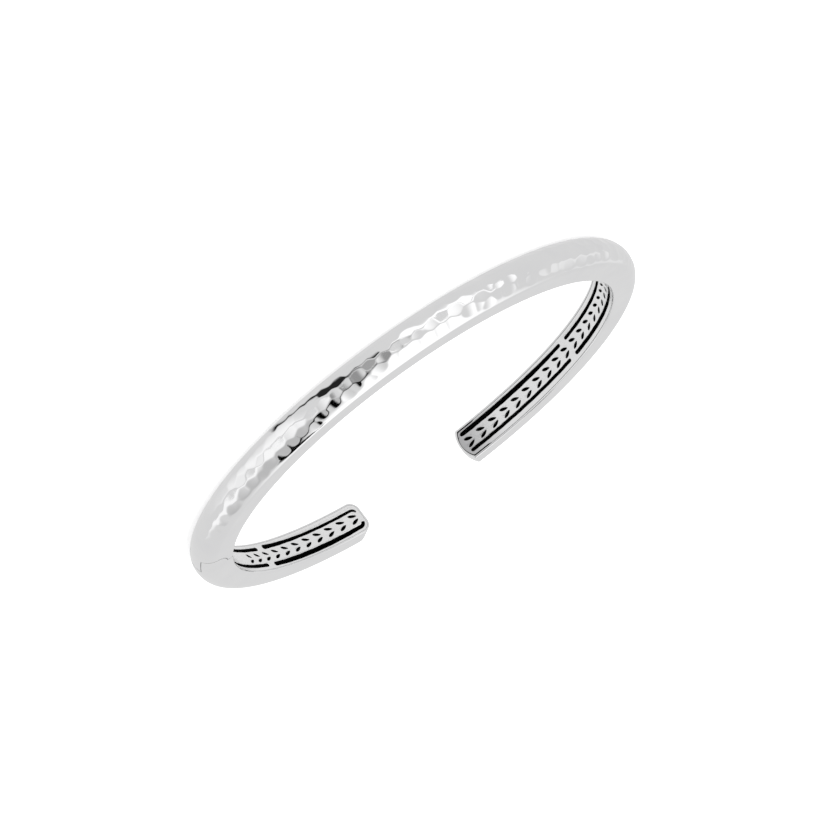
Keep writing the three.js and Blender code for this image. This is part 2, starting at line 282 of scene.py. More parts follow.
def held_back(distance, radius):
    """How far a quarter circle of this radius holds an edge back at a distance from the end."""
    into = np.maximum(0, radius - distance)
    return radius - np.sqrt(radius * radius - into * into)


def half_at(full, distance, inset, bowed):
    """Half the height of a piece at a distance from its tip, full away from it. The front tip is bowed: half
    the chord of an arc, sqrt(radius**2 - (radius - distance)**2), as a soft minimum with the full height. The
    arm's tip has corners rounded in a quarter circle. Both lie inset inside the shell's own outline. Closer
    to the bowed tip than NEAREST_CHORD the height stays the same, so that the end is never a point."""
    if not bowed:
        return full - held_back(distance, ARM_TIP_CORNER - inset)
    radius = FRONT_TIP_BOW - inset
    into = np.maximum(0, radius - np.maximum(distance, NEAREST_CHORD))
    chord = np.sqrt(radius * radius - into * into)
    return -np.log(np.exp(-chord / SOFT_CORNER) + np.exp(-full / SOFT_CORNER)) * SOFT_CORNER


def section(dome_steps=68, corner=0.16):
    """The loop of (n, h) round the whole section, and for each point its place a across the dome and the
    direction in which the dome faces there. The dome is half an ellipse, and a is the distance along it."""
    turn = np.linspace(-np.pi / 2, np.pi / 2, dome_steps + 1)
    dome = np.stack([SIDE_DEPTH + DOME_RISE * np.cos(turn), HALF * np.sin(turn)], -1)
    across = np.concatenate([[0], np.cumsum(np.hypot(*np.diff(dome, axis=0).T))])
    across = across - across[-1] / 2
    facing = np.stack([np.cos(turn) / DOME_RISE, np.sin(turn) / HALF], -1)
    facing /= np.linalg.norm(facing, axis=1)[:, None]
    bend = np.linspace(0, np.pi / 2, 5)
    low_corner = np.stack([corner - corner * np.cos(bend), -HALF + corner - corner * np.sin(bend)], -1)
    low_side = np.stack([np.linspace(corner, SIDE_DEPTH, 5)[1:-1], np.full(3, -HALF)], -1)
    below = np.concatenate([low_corner, low_side])
    above = (below * [1, -1])[::-1]
    inner = np.stack([np.zeros(5), np.linspace(HALF - corner, corner - HALF, 7)[1:-1]], -1)
    loop = np.concatenate([below, dome, above, inner])
    onto_dome = slice(len(below), len(below) + len(dome))
    return loop, onto_dome, across, facing


LOOP, ON_DOME, ACROSS, FACING = section()


def skin(name, rows, tip, struck):
    """The closed skin of one shell, through sections at the distances in rows, the last of them at its tip.
    The section's height follows the tip's outline, and its depth shrinks by a rounding of TIP_EDGE. Only the
    front band is struck with the hammer, and its tip is the bowed one."""
    gap = np.abs(rows - tip)[:, None]
    tall = half_at(HALF, gap, 0, bowed=struck) / HALF
    deep = 1 - held_back(gap, TIP_EDGE) / CAD_THICKNESS
    n = LOOP[None, :, 0] * deep
    h = LOOP[None, :, 1] * tall
    if struck:
        s, a = np.broadcast_arrays(rows[:, None], ACROSS[None, :])
        press = pressed(s, a)
        n[:, ON_DOME] -= press * FACING[:, 0]
        h[:, ON_DOME] -= press * FACING[:, 1]
    rings = place(rows[:, None], n, h)
    middle = rings[-1].mean(0)
    inward = (rings[-1] - rings[-2]).mean(0)
    inward /= np.linalg.norm(inward)
    shares = CAP_SHARES[:, None, None]
    bulge = TIP_BULGE * MM * (1 - shares**2) * inward
    cap = middle + (rings[-1] - middle) * shares + bulge
    rings = np.concatenate([rings, cap])
    if tip < HINGE_S:
        rings = rings[::-1]
    return loft(name, rings)


def stretch(start, end, step):
    """Evenly spaced distances from start to end, about step apart, without the last one."""
    return np.linspace(start, end, max(2, round(abs(end - start) / step)) + 1)[:-1]


# Rows lie closest together where the hammer fell, and at the tips. TIP_CLOSE holds distances from the end.
FINE_FROM, FINE_TO, PLAIN_FROM = 45, 118, 134
PAST_KNUCKLE = 0.5
TIP_CLOSE = np.array([
    1.3, 1.15, 1.0, 0.92, 0.86, 0.82, 0.79, 0.76, 0.72, 0.66,
    0.58, 0.49, 0.4, 0.31, 0.22, 0.15, 0.1, 0.06, 0.03, 0.01,
])
front_rows = np.concatenate([
    stretch(HINGE_S - KNUCKLE_RADIUS - PAST_KNUCKLE, FINE_FROM, 0.45),
    stretch(FINE_FROM, FINE_TO, 0.115),
    stretch(FINE_TO, PLAIN_FROM, 0.16),
    stretch(PLAIN_FROM, FRONT_TIP_S - TIP_CLOSE[0], 0.5),
    FRONT_TIP_S - TIP_CLOSE,
    [FRONT_TIP_S],
])
arm_rows = np.concatenate([
    stretch(HINGE_S + KNUCKLE_RADIUS + PAST_KNUCKLE, ARM_TIP_REACH + TIP_CLOSE[0], 0.4),
    ARM_TIP_REACH + TIP_CLOSE,
    [ARM_TIP_REACH],
])
front_skin = skin("front_skin", front_rows, FRONT_TIP_S, struck=True)
arm_skin = skin("arm_skin", arm_rows, ARM_TIP_REACH, struck=False)
for mesh in (front_skin, arm_skin):
    print(f"{mesh.name}: {len(mesh.polygons)} faces round {volume(mesh):.0f} mm3")

# %% [markdown]
# ## The hollow, the seat and the hinge
#
# The three cuts are the silversmith's own: the band is hollow behind its gallery, a shallow seat lets the
# gallery plate lie flush with the rim, and a knuckle hinge parts the two shells. Each cutter is a plain
# closed solid, and Blender's Boolean modifier takes it off the skin. The hinge cutter is a stack of three
# prisms, because the middle knuckle belongs to the front band and the outer two to the arm.


# %% Cutters for the seat and the hollow
# Cutters reach past the metal that they cut, and the seat is a little longer than its plate.
SEAT_PAST, HOLLOW_PAST, HINGE_PAST = 0.5, 0.4, 1.0
SEAT_LONGER = 0.1
CUTTER_STEP = 1.0
SIDE_WALL = 0.7
SEAT_DEPTH = 0.92
SEAT_HALF = HALF - RIM_WALL
HOLLOW_HALF = HALF - SIDE_WALL
HOLLOW_FLAT = 2.15
HOLLOW_DOME = 1.4
HOLLOW_TO_HINGE = 4.5
SEAM = 0.07


def painted(mesh, finish):
    """A cutter as an object with a finish, which the faces that it leaves behind take over."""
    mesh.materials.append(finish)
    return show(mesh.name, mesh)


def towards(tip, way, start, step):
    """Distances along the band from start to a rounded tip, closer together where the tip rounds."""
    close = np.array([1.05, 0.9, 0.78, 0.72, 0.67, 0.62, 0.55, 0.46, 0.36, 0.26, 0.17, 0.1, 0.04, 0])
    return np.concatenate([stretch(start, tip + way * close[0], step), tip + way * close])


def box_ring(s, inner, outer, half):
    """Rings round a flat bar: the rectangle from n = inner to n = outer, half high above and below."""
    n = np.array([inner, outer, outer, inner])
    h = np.array([-1, -1, 1, 1])
    return place(np.asarray(s)[:, None], n[None, :], h[None, :] * np.broadcast_to(half, np.shape(s))[:, None])


def ordered(rings, way):
    """The same rings in the order that makes the loft's faces point outwards."""
    return rings if way < 0 else rings[::-1]


def seat_cutter(tip, way):
    """The seat of a gallery plate: a shallow bar with rounded corners at the tip."""
    end = tip + way * RIM_WALL
    s = towards(end, way, HINGE_S - way * (PLATE_TO_HINGE - SEAT_LONGER), CUTTER_STEP)
    half = half_at(SEAT_HALF, np.abs(s - end), RIM_WALL, bowed=way < 0)
    return painted(loft("seat_cut", ordered(box_ring(s, -SEAT_PAST, SEAT_DEPTH, half), way)), BLACKENED)


def hollow_cutter(tip, way):
    """The hollow: a bar with a domed outside, a wall's thickness inside the shell."""
    end = tip + way * TIP_WALL
    s = np.append(stretch(HINGE_S - way * HOLLOW_TO_HINGE, end, CUTTER_STEP), end)
    turn = np.linspace(-np.pi / 2, np.pi / 2, 13)
    n = np.concatenate([[-HOLLOW_PAST], HOLLOW_FLAT + HOLLOW_DOME * np.cos(turn), [-HOLLOW_PAST]])
    h = np.concatenate([[-HOLLOW_HALF], HOLLOW_HALF * np.sin(turn), [HOLLOW_HALF]])
    return painted(loft("hollow_cut", ordered(place(s[:, None], n, h), way)), BLACKENED)


# %% Cutters for the hinge
def prism(name, outline, low, high):
    """A prism on an outline of (x, y) pairs about the hinge's axis, between two heights above the floor."""
    rings = np.stack([raised(outline + hinge_axis[:2], height) for height in (low, high)]) * MM
    return painted(loft(name, rings), FILED)


def hinge_outline(side, knuckle, add):
    """The plan of one layer of a hinge cut: all that lies on one side (+1 or -1 along y) of the axis, with
    the round knuckle added to it or left out of it. The seam is split between the two pieces."""
    reach, gap = 9.0, SEAM / 2
    radius = knuckle + (gap if add else -gap)
    dip = np.arcsin(gap / radius)
    turn = np.linspace(np.pi + dip, 2 * np.pi - dip, 41) if add else np.linspace(np.pi + dip, -dip, 49)
    corners = [[reach, -gap], [reach, reach], [-reach, reach]]
    outline = np.concatenate([[[-reach, -gap]], on_circle(radius, turn), corners])
    return outline if side > 0 else (outline * [1, -1])[::-1]


def hinge_cutters(is_front):
    """Three layers: through the outer knuckles below, the middle knuckle, and the outer knuckle above."""
    side = 1 if is_front else -1
    gap = SEAM / 2
    middle = KNUCKLE_HALF_HEIGHT - gap if is_front else KNUCKLE_HALF_HEIGHT + gap
    lap = 0.02
    inner_lap, outer_lap = (lap, 0) if is_front else (0, lap)
    outer_plan = hinge_outline(side, KNUCKLE_RADIUS, add=is_front)
    middle_plan = hinge_outline(side, KNUCKLE_RADIUS, add=not is_front)
    return [
        prism("hinge_cut", outer_plan, -HINGE_PAST, HALF - middle + outer_lap),
        prism("hinge_cut", middle_plan, HALF - middle - inner_lap, HALF + middle + inner_lap),
        prism("hinge_cut", outer_plan, HALF + middle - outer_lap, BAND_HEIGHT + HINGE_PAST),
    ]


def bore_cutter(radius=0.56, skin_left=0.4):
    """The bore for the hinge pin, shut by a skin of metal above and below."""
    outline = on_circle(radius, np.linspace(0, 2 * np.pi, 33)[:-1])
    return prism("bore_cut", outline, skin_left, BAND_HEIGHT - skin_left)


# %% Cutting
def cut(piece, cutters):
    """Takes the cutters off the piece with Boolean modifiers, keeps the result as its mesh, and removes them.
    The faces that a cutter leaves behind keep its finish only when materials are transferred."""
    for cutter in cutters:
        step = piece.modifiers.new("cut", "BOOLEAN")
        step.operation = "DIFFERENCE"
        step.solver = "MANIFOLD"
        step.material_mode = "TRANSFER"
        step.object = cutter
    drawn = piece.evaluated_get(bpy.context.evaluated_depsgraph_get())
    mesh = bpy.data.meshes.new_from_object(drawn)
    mesh.name = piece.name
    piece.modifiers.clear()
    piece.data = mesh
    for cutter in cutters:
        bpy.data.meshes.remove(cutter.data)
    print(f"{piece.name}: {len(mesh.polygons)} faces round {volume(mesh):.0f} mm3 of silver")
    return piece


# %% [markdown]
# ## The gallery
#
# The inside of the band is closed by a flat plate, pierced with pairs of leaves between two rows of long
# slots. A plate with many holes is awkward as one grid, so we tile it. Each opening sits in its own tile, a
# ring of faces that runs from the tile's edge to the opening, rounds over a small lip, goes down the wall and
# comes back underneath. Tiles share the points on their edges, so that they weld into one closed solid.
# The tiles are flat in (r, h), where r is the distance from the middle of the gap, and are bent round the
# oval at the end.

# %% Sizes of the piercing
PLATE_THICKNESS = 0.8
LIP = 0.07
LEAF_PITCH = 1.981
LEAF_LENGTH, LEAF_WIDTH, LEAF_TILT, LEAF_ROW = 1.24, 0.4, np.radians(20), 0.41
LEAF_POINT, LEAF_FULLNESS, LEAF_TWIST = 0.45, 0.22, 0.55
SLOT_BRIDGE, SLOT_END = 1.15, 1.1
MIDDLE_EDGE = 0.81
LEAF_NODES, SLOT_NODES = 3, 4
HALF_PITCH, CURLED_BEFORE = 6, 4
NODE = LEAF_PITCH / (2 * HALF_PITCH)
LAST_COLUMN = 0.4
BOWED_SHARES = np.array([0, 0.04, 0.12, 0.25, 0.45, 0.7, 1])
LOOSE_REACH, LOOSE_RAMP, LOOSE_GAP = 3.4, 0.5, 0.13
# How far from the front tip the painted shade and the added roughness of the plate reach, in millimetres.
DULL_SHADE_REACH = 6.0

# A saw wanders a little: the height, the pace and the phase of two waves, and the far side's share of them.
SAW_WAVES = (0.014, 2.3, 1.0), (0.008, 5.9, 2.1)
FAR_SIDE, WAVE_STEP = 0.6, 1.7

# The slots are sawn by eye. Each has its middle line's height and its width at its start, middle and end.
EVEN_SLOT = (1.25, 0.46), (1.24, 0.45), (1.25, 0.46)
FRONT_SLOTS = {
    -1: [((1.36, 0.57), (1.365, 0.60), (1.26, 0.42)), ((1.24, 0.42), (1.25, 0.43), (1.33, 0.38))],
    1: [((1.16, 0.47), (1.14, 0.42), (1.18, 0.44)), ((1.20, 0.48), (1.21, 0.49), (1.15, 0.42))],
}
ARM_SLOTS = {
    -1: [((1.18, 0.38), (1.20, 0.42), (1.38, 0.66)), ((1.30, 0.52), (1.33, 0.48), (1.36, 0.34))],
    1: [((1.36, 0.52), (1.42, 0.66), (1.36, 0.58)), ((1.25, 0.52), (1.20, 0.54), (1.19, 0.54))],
}


def tile(edge, opening):
    """The rings of one pierced tile as (rows, count, 3) points (r, h, n), from the tile's edge and its
    opening, two loops of as many (r, h) points. The lip is a quarter circle in two steps, moved out along
    the opening's own normal."""
    along = np.roll(opening, -1, 0) - np.roll(opening, 1, 0)
    out = np.stack([along[:, 1], -along[:, 0]], -1)
    out /= np.linalg.norm(out, axis=1)[:, None]
    turns = np.radians([0, 45, 90])
    lip = [(opening + out * LIP * (1 - np.sin(t)), LIP * (1 - np.cos(t))) for t in turns]
    levels = [(edge, 0.0), *lip, (opening, PLATE_THICKNESS), (edge, PLATE_THICKNESS)]
    return np.stack([raised(flat, n) for flat, n in levels])


def edge_loop(low_side, high_side, nodes):
    """A tile's edge, counter-clockwise: along its low side, up its right end, back along its high side and
    down its left end, with evenly spaced points on the two ends."""
    share = np.arange(1, nodes)[:, None] / nodes
    right = low_side[-1] + (high_side[-1] - low_side[-1]) * share
    left = high_side[0] + (low_side[0] - high_side[0]) * share
    return np.concatenate([low_side, right, high_side[::-1], left])


# %% Leaves
def leaf_tile(r, before, after, row, lean):
    """A leaf's tile, from before to after its middle r, in the row above (+1) or below (-1) the middle. Its
    outline is (length/2 * cos t, width/2 * sin t * |sin t|**LEAF_POINT), made fuller towards one end by
    1 + LEAF_FULLNESS * lean * cos t, and turned by the tilt. t lags behind the tile's edge by LEAF_TWIST of
    the tilt, which keeps the leaf's points opposite the edge's."""
    nodes = np.arange(-before, after + 1) * NODE
    low_side = points_at(r + nodes, 0)
    high_side = low_side + [0, MIDDLE_EDGE]
    edge = edge_loop(low_side, high_side, LEAF_NODES)
    across = (edge - [r, MIDDLE_EDGE / 2]) / [NODE * HALF_PITCH, MIDDLE_EDGE / 2]
    tilt = lean * LEAF_TILT
    t = np.arctan2(across[:, 1], across[:, 0] + 1e-9) - tilt * LEAF_TWIST
    x = LEAF_LENGTH / 2 * np.cos(t)
    y = LEAF_WIDTH / 2 * np.sin(t) * np.abs(np.sin(t)) ** LEAF_POINT * (1 + LEAF_FULLNESS * lean * np.cos(t))
    turned = points_at(x * np.cos(tilt) - y * np.sin(tilt), x * np.sin(tilt) + y * np.cos(tilt))
    opening = turned + [r, LEAF_ROW]
    return mirrored(tile(edge, opening), row)


def mirrored(rings, row):
    """The same tile above the middle, or turned over below it, with its faces kept the right way round."""
    return rings if row > 0 else (rings * [1, -1, 1])[:, ::-1]


# %% Slots
def plate_half(r, plate):
    """Half a plate's height at distance r. A plate is its tip, its fit inside the seat, and whether the tip
    is bowed. The front plate sits more loosely in its first LOOSE_REACH millimetres."""
    tip, fit, bowed = plate
    loose = np.clip((LOOSE_REACH - (r - tip)) / LOOSE_RAMP, 0, 1) * LOOSE_GAP if bowed else 0
    return half_at(SEAT_HALF - fit, r - tip, RIM_WALL + fit, bowed) - loose


def along_slot(t, shape):
    """Height and half width at the share t of a slot: the parabola through its three given values."""
    weights = np.stack([(1 - t) * (1 - 2 * t), 4 * t * (1 - t), t * (2 * t - 1)], -1)
    height, width = (weights @ np.array(shape)).T
    return height, width / 2


def slot_sides(run, start, end, shape, wave):
    """A slot's two long sides at the distances in run, with a wave of some hundredths like a saw's."""
    height, half = along_slot((run - start) / (end - start), shape)
    uneven = sum(size * np.sin(run * pace + phase * wave) for size, pace, phase in SAW_WAVES)
    low_side = points_at(run, height - half + uneven)
    high_side = points_at(run, height + half + FAR_SIDE * uneven[::-1])
    return low_side, high_side


def round_end(low_point, high_point, way):
    """The points of a half circle between the ends of a slot's two sides, bulging in the direction way."""
    t = np.pi * np.arange(1, SLOT_NODES)[:, None] / SLOT_NODES
    middle, half = (low_point + high_point) / 2, (high_point - low_point) / 2
    return middle + half * -np.cos(t) + [way, 0] * np.sin(t) * np.linalg.norm(half)


def slot_tile(r, start, end, row, plate, shape, wave):
    """A straight slot's tile over the nodes r, with the slot from start to end. Its two long sides follow the
    nodes, and each end is a half circle."""
    low_side = points_at(r, MIDDLE_EDGE)
    high_side = points_at(r, plate_half(r, plate))
    edge = edge_loop(low_side, high_side, SLOT_NODES)
    run = np.interp(r, [r[0], r[-1]], [start + shape[0][1] / 2, end - shape[2][1] / 2])
    low_line, high_line = slot_sides(run, start, end, shape, wave)
    right_end = round_end(low_line[-1], high_line[-1], 1)
    left_end = round_end(low_line[0], high_line[0], -1)[::-1]
    opening = np.concatenate([low_line, right_end, high_line[::-1], left_end])
    return mirrored(tile(edge, opening), row)


print(f"leaves of {LEAF_LENGTH} x {LEAF_WIDTH} mm, one pair every {LEAF_PITCH} mm")
print(f"slots about {EVEN_SLOT[0][1]} mm wide")

# %% [markdown]
# The arm's first two slots curl round its tip like the crook of a stick. Their tile is bent too: it takes in
# the corner of the plate beyond the first pair of leaves, so that the crook has metal on all its sides.


# %% Curled slots
CURL_RADIUS = 0.6
CURL_FROM, CURL_LEAD = 8.84, 0.04
CURL_TAPER, CURL_BLUNT = 0.05, 2.2
INNER_TURN, OUTER_TURN = 72, 76
CORNER_EDGE = MIDDLE_EDGE * 2 / LEAF_NODES
CORNER_TURNS = np.radians([90, 75, 60, 45, 30, 15])


def cornered_side(r, plate):
    """The points of the plate's rounded corner, from its tip's straight end, and of its side over the nodes r
    that lie beyond the corner."""
    tip, fit, _ = plate
    radius = ARM_TIP_CORNER - RIM_WALL - fit
    along = tip + radius * (1 - np.sin(CORNER_TURNS))
    corner = points_at(along, SEAT_HALF - fit - radius * (1 - np.cos(CORNER_TURNS)))
    side_r = r[r > corner[-1, 0] + NODE / 3]
    return np.concatenate([corner, points_at(side_r, plate_half(side_r, plate))])


def arc(centre, radius, turns):
    """Points round a centre (r, h), at turns from straight up towards the tip."""
    return centre + np.reshape(radius, (-1, 1)) * points_at(-np.sin(turns), np.cos(turns))


def curled_tile(r, end, row, plate, shape, wave):
    """The tile of a slot that ends in a crook. The slot's middle line runs down to CURL_FROM and turns there
    through an arc of CURL_RADIUS towards the middle of the plate, getting thinner."""
    height, half = shape[0][0], shape[0][1] / 2
    centre = np.array([CURL_FROM, height - CURL_RADIUS])
    straight = r > CURL_FROM
    run = np.interp(r[straight], [r[straight][0], r[-1]], [CURL_FROM + CURL_LEAD, end - shape[2][1] / 2])
    low_straight, high_straight = slot_sides(run, CURL_FROM, end, shape, wave)
    inner_turns = np.radians(np.linspace(INNER_TURN, 0, int((~straight).sum()) + 2))[:-1]
    inner_arc = arc(centre, CURL_RADIUS - half + CURL_TAPER * np.sin(inner_turns), inner_turns)
    low_edge = np.concatenate([[[r[0], CORNER_EDGE]], points_at(r, MIDDLE_EDGE)])
    high_edge = np.concatenate([[[plate[0], CORNER_EDGE]], cornered_side(r, plate)])
    outer_count = len(high_edge) - int(straight.sum())
    outer_turns = np.radians(np.linspace(OUTER_TURN, 0, outer_count + 1))[:-1]
    outer_arc = arc(centre, CURL_RADIUS + half - CURL_TAPER * np.sin(outer_turns), outer_turns)
    far_cap = round_end(low_straight[-1], high_straight[-1], 1)
    share = np.arange(1, SLOT_NODES)[:, None] / SLOT_NODES
    far_edge = low_edge[-1] + (high_edge[-1] - low_edge[-1]) * share
    near_edge = (high_edge[0] + low_edge[0]) / 2
    near_cap = (inner_arc[0] + outer_arc[0]) / 2 - [0, half / CURL_BLUNT]
    edge = np.concatenate([low_edge, far_edge, high_edge[::-1], [near_edge]])
    opening = np.concatenate([
        inner_arc, low_straight, far_cap, high_straight[::-1], outer_arc[::-1], [near_cap]
    ])
    return mirrored(tile(edge, opening), row)


# %% Plain stretches of plate
def quads(grid):
    """The four-sided faces of a grid of (rows, columns, 3) points, as an array of four points each."""
    corners = [grid[:-1, :-1], grid[1:, :-1], grid[1:, 1:], grid[:-1, 1:]]
    return np.stack(corners, 2).reshape(-1, 4, 3)


def plain_tile(r, h):
    """A stretch of plate with no opening, over the nodes r and h: its upper and its lower side, as faces of
    four points (r, h, n), wound so that the upper side faces the wrist. h may be an array (r, h)."""
    r, h = np.broadcast_arrays(r[:, None], h)
    top = np.stack([r, h, np.zeros(r.shape)], -1)
    below = top + [0, 0, PLATE_THICKNESS]
    return np.concatenate([quads(top), quads(below)[:, ::-1]])


def tile_faces(rings):
    """A pierced tile's faces as an array of four points each, wound as plain_tile's are."""
    return rings.reshape(-1, 3)[ring_faces(*rings.shape[:2])]


def side_walls(outline):
    """The plate's edge: faces from the upper to the lower side along its closed outline."""
    upper, lower = raised(outline, 0), raised(outline, PLATE_THICKNESS)
    after = np.roll(np.arange(len(outline)), -1)
    return np.stack([upper[after], upper, lower, lower[after]], 1)


def weld(name, faces, bend):
    """One mesh from loose faces: points that agree to a ten-thousandth of a millimetre become one. The small
    shift keeps round numbers away from the border between two steps. bend turns the flat (r, h, n) into
    places on the band. It also gives each point's r, for the finish to read."""
    corners = faces.reshape(-1, 3)
    keys = np.floor(corners * 1e4 + 0.2371).astype(np.int64)
    _, first, index = np.unique(keys, axis=0, return_index=True, return_inverse=True)
    mesh = new_mesh(name, bend(corners[first]), [index.reshape(-1, 4)])
    sunk = faces[:, :, 2].max(1) > LIP * 1.5
    mesh.polygons.foreach_set("material_index", sunk.astype(np.int32))
    return mesh, corners[first][:, 0]


# %% The whole plate
def gallery(name, tip, way, fit, leaf_first, pairs, slot_first, slot_length, slots):
    """A gallery plate. tip and way are the shell's tip and its direction towards the hinge (+1 where s
    grows), and fit is its play in the seat. Distances r are measured from the middle of the gap on the
    plate's own side: leaf_first is the first pair's middle, and slot_first the first slots' start. The arm's
    first slots are curled. slots shapes the first slots of each row, and the rest are even."""
    curl = way > 0
    plate = ((tip if curl else ROUND - tip) + RIM_WALL + fit, fit, not curl)
    plate_tip = plate[0]
    plate_end = (HINGE_S if curl else ROUND - HINGE_S) - PLATE_TO_HINGE
    first_before = CURLED_BEFORE if curl else HALF_PITCH
    start = leaf_first - first_before * NODE
    columns = int(np.floor((plate_end - SLOT_END * LAST_COLUMN - start) / NODE))
    r = start + NODE * np.arange(columns + 1)
    leaves_end = first_before + HALF_PITCH * (2 * pairs - 1)
    last_slot_end = plate_end - SLOT_END
    parts = []
    for row in (-1, 1):
        for k in range(pairs):
            before = first_before if k == 0 else HALF_PITCH
            rings = leaf_tile(leaf_first + k * LEAF_PITCH, before, HALF_PITCH, row, lean=way)
            parts.append(tile_faces(rings))
        begin, at, k = slot_first, 0, 0
        while at < columns:
            end = min(begin + slot_length, last_slot_end)
            last = begin + slot_length + SLOT_BRIDGE > last_slot_end - SLOT_BRIDGE
            to = columns if last else int(round((end + SLOT_BRIDGE / 2 - start) / NODE))
            nodes, wave = r[at:to + 1], WAVE_STEP * k + row
            shape = slots[row][k] if k < len(slots[row]) else EVEN_SLOT
            if curl and k == 0:
                rings = curled_tile(nodes, end, row, plate, shape, wave)
            else:
                rings = slot_tile(nodes, begin, end, row, plate, shape, wave)
            parts.append(tile_faces(rings))
            begin, at, k = begin + slot_length + SLOT_BRIDGE, to, k + 1
    inner_h = MIDDLE_EDGE * np.arange(-LEAF_NODES, LEAF_NODES + 1) / LEAF_NODES
    if leaves_end < columns:
        parts.append(plain_tile(r[leaves_end:], inner_h[None, :]))
    share = np.arange(SLOT_NODES + 1) / SLOT_NODES

    def full_width(at_r):
        """The heights h right across the plate at each distance, one row for each."""
        edge = plate_half(np.asarray(at_r, float), plate)[:, None]
        above = MIDDLE_EDGE + (edge - MIDDLE_EDGE) * share
        low_part = np.broadcast_to(inner_h[1:-1], (len(above), len(inner_h) - 2))
        return np.concatenate([-above[:, ::-1], low_part, above], 1)

    tail = np.array([r[-1], (r[-1] + plate_end) / 2, plate_end])
    tail_h = full_width(tail)
    parts.append(plain_tile(tail, tail_h))
    if curl:
        near = np.array([plate_tip, (plate_tip + start) / 2, start])
        near_h = np.tile(inner_h[1:-1], (3, 1))
        side = cornered_side(r, plate)
    else:
        near = plate_tip + (start - plate_tip) * BOWED_SHARES
        tall = plate_half(near, plate)
        near_h = full_width([start]) * (tall / tall[-1])[:, None]
        side = np.concatenate([points_at(near, tall)[:-1], points_at(r, plate_half(r, plate))])
    parts.append(plain_tile(near, near_h))
    high_side = np.concatenate([side, points_at(tail, tail_h[:, -1])[1:]])
    end_h = near_h[0] if curl else near_h[0, 1:-1]
    far_end = points_at(plate_end, tail_h[-1, 1:-1])
    near_end = points_at(plate_tip, end_h[::-1])
    parts.append(side_walls(np.concatenate([high_side * [1, -1], far_end, high_side[::-1], near_end])))

    def bend(flat):
        """The flat points (r, h, n) as places on the band."""
        s = flat[:, 0] if way > 0 else ROUND - flat[:, 0]
        return place(s, flat[:, 2], flat[:, 1])

    faces = np.concatenate(parts)
    if way < 0:
        faces = faces[:, ::-1]
    mesh, reach = weld(name, faces, bend)
    # Painted shade: 1 at the front tip and falling to 0 behind it, this darkens the plate's colour there and
    # also makes it rougher.
    dull_and_shaded = np.clip(1 - (reach - plate_tip) / DULL_SHADE_REACH, 0, 1) * (0 if curl else 1)
    keep(mesh, "dull_and_shaded", dull_and_shaded)
    loose = sum(1 for count in edge_use(mesh) if count != 2)
    print(f"{name}: {len(mesh.polygons)} faces, {volume(mesh):.1f} mm3, {loose} open edges")
    return show(name, mesh)


def edge_use(mesh):
    """How many faces use each edge of a mesh. In a closed surface each edge has two."""
    of_loops = np.empty(len(mesh.loops), np.int32)
    mesh.loops.foreach_get("edge_index", of_loops)
    return np.bincount(of_loops, minlength=len(mesh.edges))


front_gallery = gallery(
    "pierced_gallery_front", FRONT_TIP_S, -1, fit=0.05, leaf_first=9.52, pairs=57,
    slot_first=8.9, slot_length=18.4, slots=FRONT_SLOTS,
)
arm_gallery = gallery(
    "pierced_gallery_arm", ARM_TIP_REACH, 1, fit=0.025, leaf_first=9.08, pairs=11,
    slot_first=8.75, slot_length=15.9, slots=ARM_SLOTS,
)

# %% [markdown]
# ## Finishes
#
# Shader maths reads better as ordinary sums, so a small class wraps a socket and turns + * ** into Math
# nodes. A second one makes any other node in one call. Both only save typing: what they make can be looked at
# in the Shader Editor as usual.


# %% Helpers for shaders
class Value:
    """A number that varies over a surface: a socket, with the usual arithmetic."""

    def __init__(self, finish, socket):
        self.finish, self.socket = finish, socket

    def _math(self, operation, first, second):
        return self.finish.node("ShaderNodeMath", {"operation": operation}, {0: first, 1: second})

    def __add__(self, other):
        return self._math("ADD", self, other)

    def __mul__(self, other):
        return self._math("MULTIPLY", self, other)

    def __pow__(self, other):
        return self._math("POWER", self, other)

    def __rpow__(self, other):
        return self._math("POWER", other, self)

    __radd__, __rmul__ = __add__, __mul__


